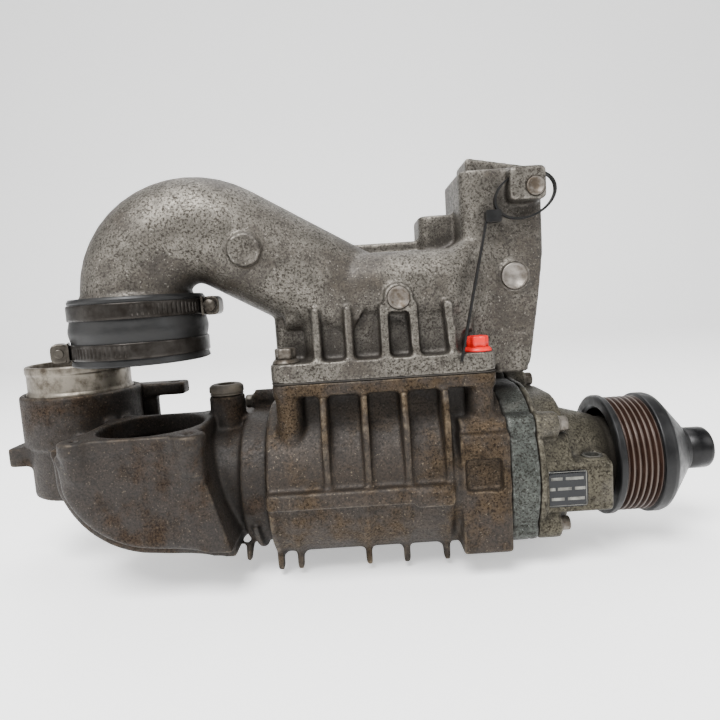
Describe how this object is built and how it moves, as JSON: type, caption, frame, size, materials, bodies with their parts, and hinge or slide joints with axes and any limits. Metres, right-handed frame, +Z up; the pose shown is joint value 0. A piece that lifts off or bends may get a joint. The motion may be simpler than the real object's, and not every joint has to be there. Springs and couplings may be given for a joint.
{
  "type": "roots supercharger",
  "caption": "Belt-driven twin-rotor Roots blower with ribbed cast housing, scoop-shaped inlet housing, outlet duct with a curved pipe and resonator box, snout and poly-V pulley.",
  "frame": {"origin": "drive axis at the middle of the belt track", "axes": "+X along the drive axis, out of the pulley's nose; +Y from the drive rotor to the driven rotor; +Z up"},
  "size_m": [0.4705, 0.182, 0.255],
  "materials": {
    "cast_housing": "sand cast, oil stained",
    "cast_inlet": "sand cast, dark oil stained",
    "gasket": "pressed fibre",
    "cast_plate": "die cast, blue-grey",
    "cast_cover": "die cast, dull",
    "cast_duct": "sand cast, weathered",
    "plug_steel": "pressed, dull",
    "bolt_steel": "zinc flake, dull",
    "marked_bolt": "red marking paint",
    "ground_steel": "ground",
    "machined_tube": "turned",
    "nipple_rubber": "moulded",
    "plate_film": "printed film",
    "rotor_aluminium": "machined",
    "gear_steel": "case hardened",
    "cage_plastic": "glass-filled nylon",
    "isolator_plastic": "moulded nylon",
    "seal_rubber": "moulded",
    "pulley_coat": "black coat, rusty grooves",
    "nose_black": "black oxide",
    "hose_rubber": "moulded",
    "band_steel": "stainless, dirty",
    "clamp_steel": "plated, dirty",
    "tie_nylon": "nylon"
  },
  "bodies": {
    "casing": {"rotor_housing": "cast_housing", "inlet_housing": "cast_inlet", "inlet_gasket": "gasket", "bearing_plate": "cast_plate", "front_cover": "cast_cover", "outlet_duct": "cast_duct", "outlet_gasket": "gasket", "duct_core_plugs": "plug_steel", "duct_bolts": "bolt_steel", "marked_duct_bolt": "marked_bolt", "cover_bolts": "bolt_steel", "inlet_bolts": "bolt_steel", "dowel_pins": "ground_steel", "inlet_spigot": "machined_tube", "vent_nipple": "nipple_rubber", "lug_bush": "ground_steel", "name_plate": "plate_film", "oil_fill_plug": "plug_steel", "rotor_bearing_outer_rings": "ground_steel", "snout_bearing_outer_rings": "ground_steel", "roller_cups": "ground_steel", "shaft_seal": "seal_rubber", "coupling_hose": "hose_rubber", "upper_clamp_band": "band_steel", "lower_clamp_band": "band_steel", "upper_clamp_housing": "clamp_steel", "lower_clamp_housing": "clamp_steel", "cable_tie": "tie_nylon"},
    "drive_train": {"drive_rotor": "rotor_aluminium", "drive_rotor_shaft": "ground_steel", "drive_gear": "gear_steel", "drive_bearing_inner_rings": "ground_steel", "gear_drive_pins": "ground_steel", "hub_drive_pins": "ground_steel", "isolator": "isolator_plastic", "coupling_hub": "ground_steel", "input_shaft": "ground_steel", "pulley": "pulley_coat", "pulley_nose_bolt": "nose_black"},
    "driven_train": {"driven_rotor": "rotor_aluminium", "driven_rotor_shaft": "ground_steel", "driven_gear": "gear_steel", "driven_bearing_inner_rings": "ground_steel"},
    "drive_rolling_set": {"drive_bearing_balls": "ground_steel", "drive_bearing_cages": "cage_plastic", "drive_bearing_rollers": "ground_steel"},
    "driven_rolling_set": {"driven_bearing_balls": "ground_steel", "driven_bearing_cages": "cage_plastic", "driven_bearing_rollers": "ground_steel"},
    "upper_screw": {"upper_clamp_screw": "clamp_steel"},
    "lower_screw": {"lower_clamp_screw": "clamp_steel"}
  },
  "joints": [
    {"name": "drive_spin", "type": "hinge", "parent": "casing", "child": "drive_train", "pos_m": [0, 0, 0], "axis": [1, 0, 0], "continuous": true},
    {"name": "driven_spin", "type": "hinge", "parent": "casing", "child": "driven_train", "pos_m": [-0.15, 0.064, 0], "axis": [1, 0, 0], "continuous": true},
    {"name": "drive_set_orbit", "type": "hinge", "parent": "casing", "child": "drive_rolling_set", "pos_m": [0, 0, 0], "axis": [1, 0, 0], "continuous": true},
    {"name": "driven_set_orbit", "type": "hinge", "parent": "casing", "child": "driven_rolling_set", "pos_m": [-0.07, 0.064, 0], "axis": [1, 0, 0], "continuous": true},
    {"name": "upper_clamp_turn", "type": "hinge", "parent": "casing", "child": "upper_screw", "pos_m": [-0.2544, -0.025, 0.1145], "axis": [0, 1, 0], "continuous": true},
    {"name": "lower_clamp_turn", "type": "hinge", "parent": "casing", "child": "lower_screw", "pos_m": [-0.34102, -0.04262, 0.0925], "axis": [0.3907, -0.9205, 0], "continuous": true}
  ],
  "couplings": [
    {"joint": "driven_spin", "follows": "drive_spin", "ratio": -1},
    {"joint": "drive_set_orbit", "follows": "drive_spin", "ratio": 0.3816},
    {"joint": "driven_set_orbit", "follows": "drive_spin", "ratio": -0.3816}
  ]
}
